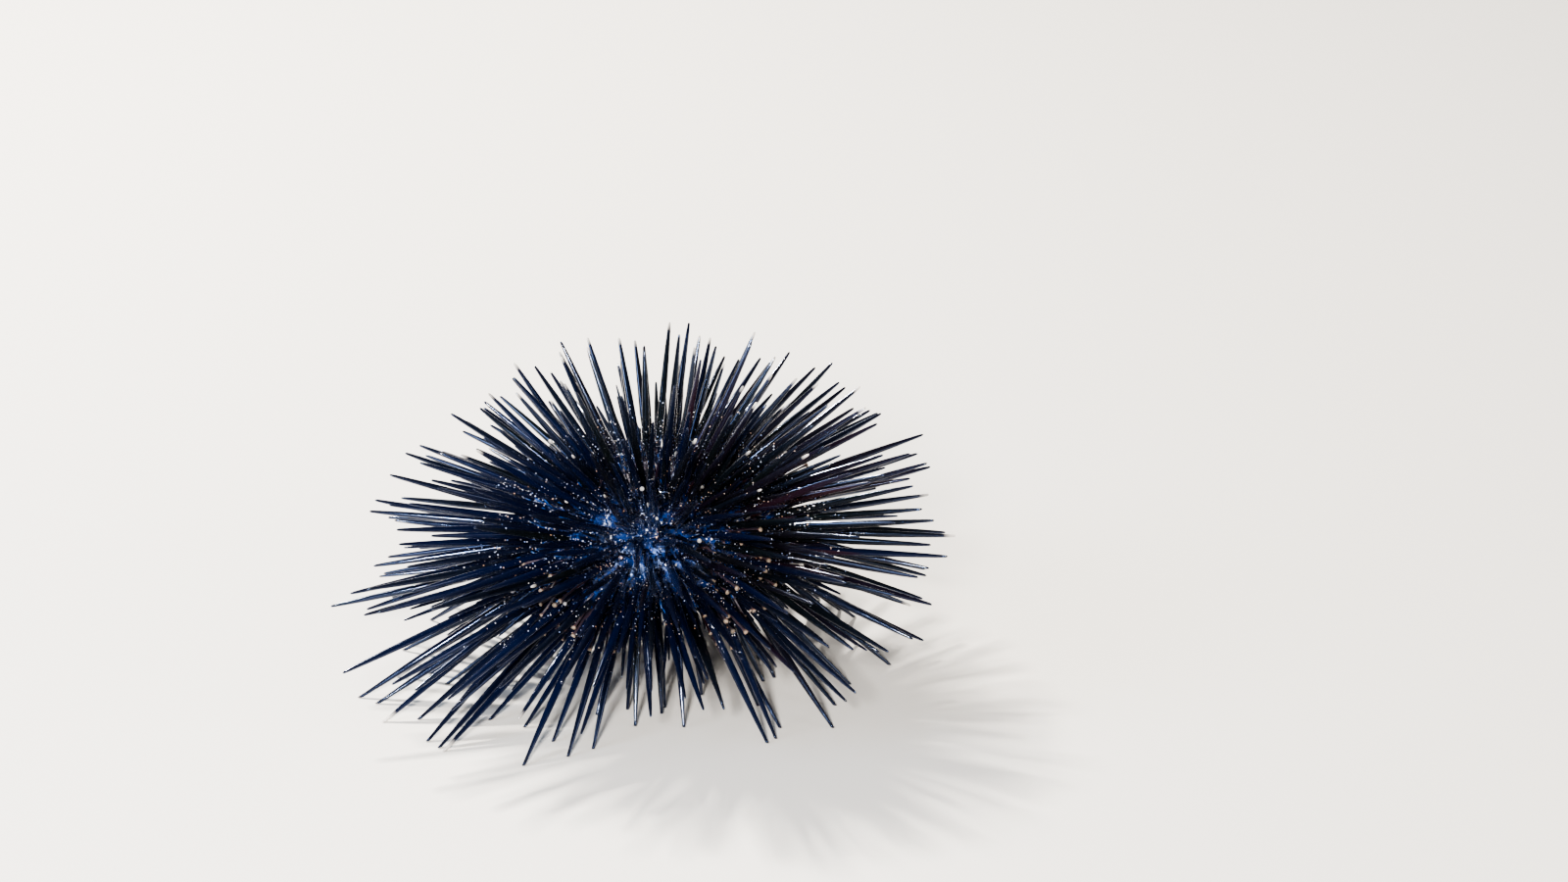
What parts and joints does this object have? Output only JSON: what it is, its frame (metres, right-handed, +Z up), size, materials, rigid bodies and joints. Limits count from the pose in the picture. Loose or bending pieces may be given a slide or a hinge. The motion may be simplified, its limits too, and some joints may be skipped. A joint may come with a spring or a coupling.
{
  "type": "purple sea urchin",
  "caption": "Life-size still model of a dark purple sea urchin, a low round body bristling with sharp tapered spines, standing on its lower spines.",
  "frame": {"origin": "on the ground, under the middle of the animal's bounding box", "axes": "+Z up, from the mouth side to the apical disc; +X to the right and -Y towards the viewer in the picture; the body leans 6 degrees, its +X side higher"},
  "size_m": [0.1162, 0.1116, 0.0637],
  "materials": {
    "spines": "wet near-black violet with a blue sheen, brown-violet where the light comes through",
    "plates": "satin dark violet",
    "flesh": "wet, blue-black",
    "teeth": "smooth ivory white"
  },
  "bodies": {
    "root": {"ambulacrum_1": "spines", "interambulacrum_1": "spines", "ambulacrum_2": "spines", "interambulacrum_2": "spines", "ambulacrum_3": "spines", "interambulacrum_3": "spines", "ambulacrum_4": "spines", "interambulacrum_4": "spines", "ambulacrum_5": "spines", "interambulacrum_5": "spines", "apical_disc": "plates", "mouth_membrane": "flesh", "tooth_1": "teeth", "tooth_2": "teeth", "tooth_3": "teeth", "tooth_4": "teeth", "tooth_5": "teeth"}
  },
  "joints": []
}
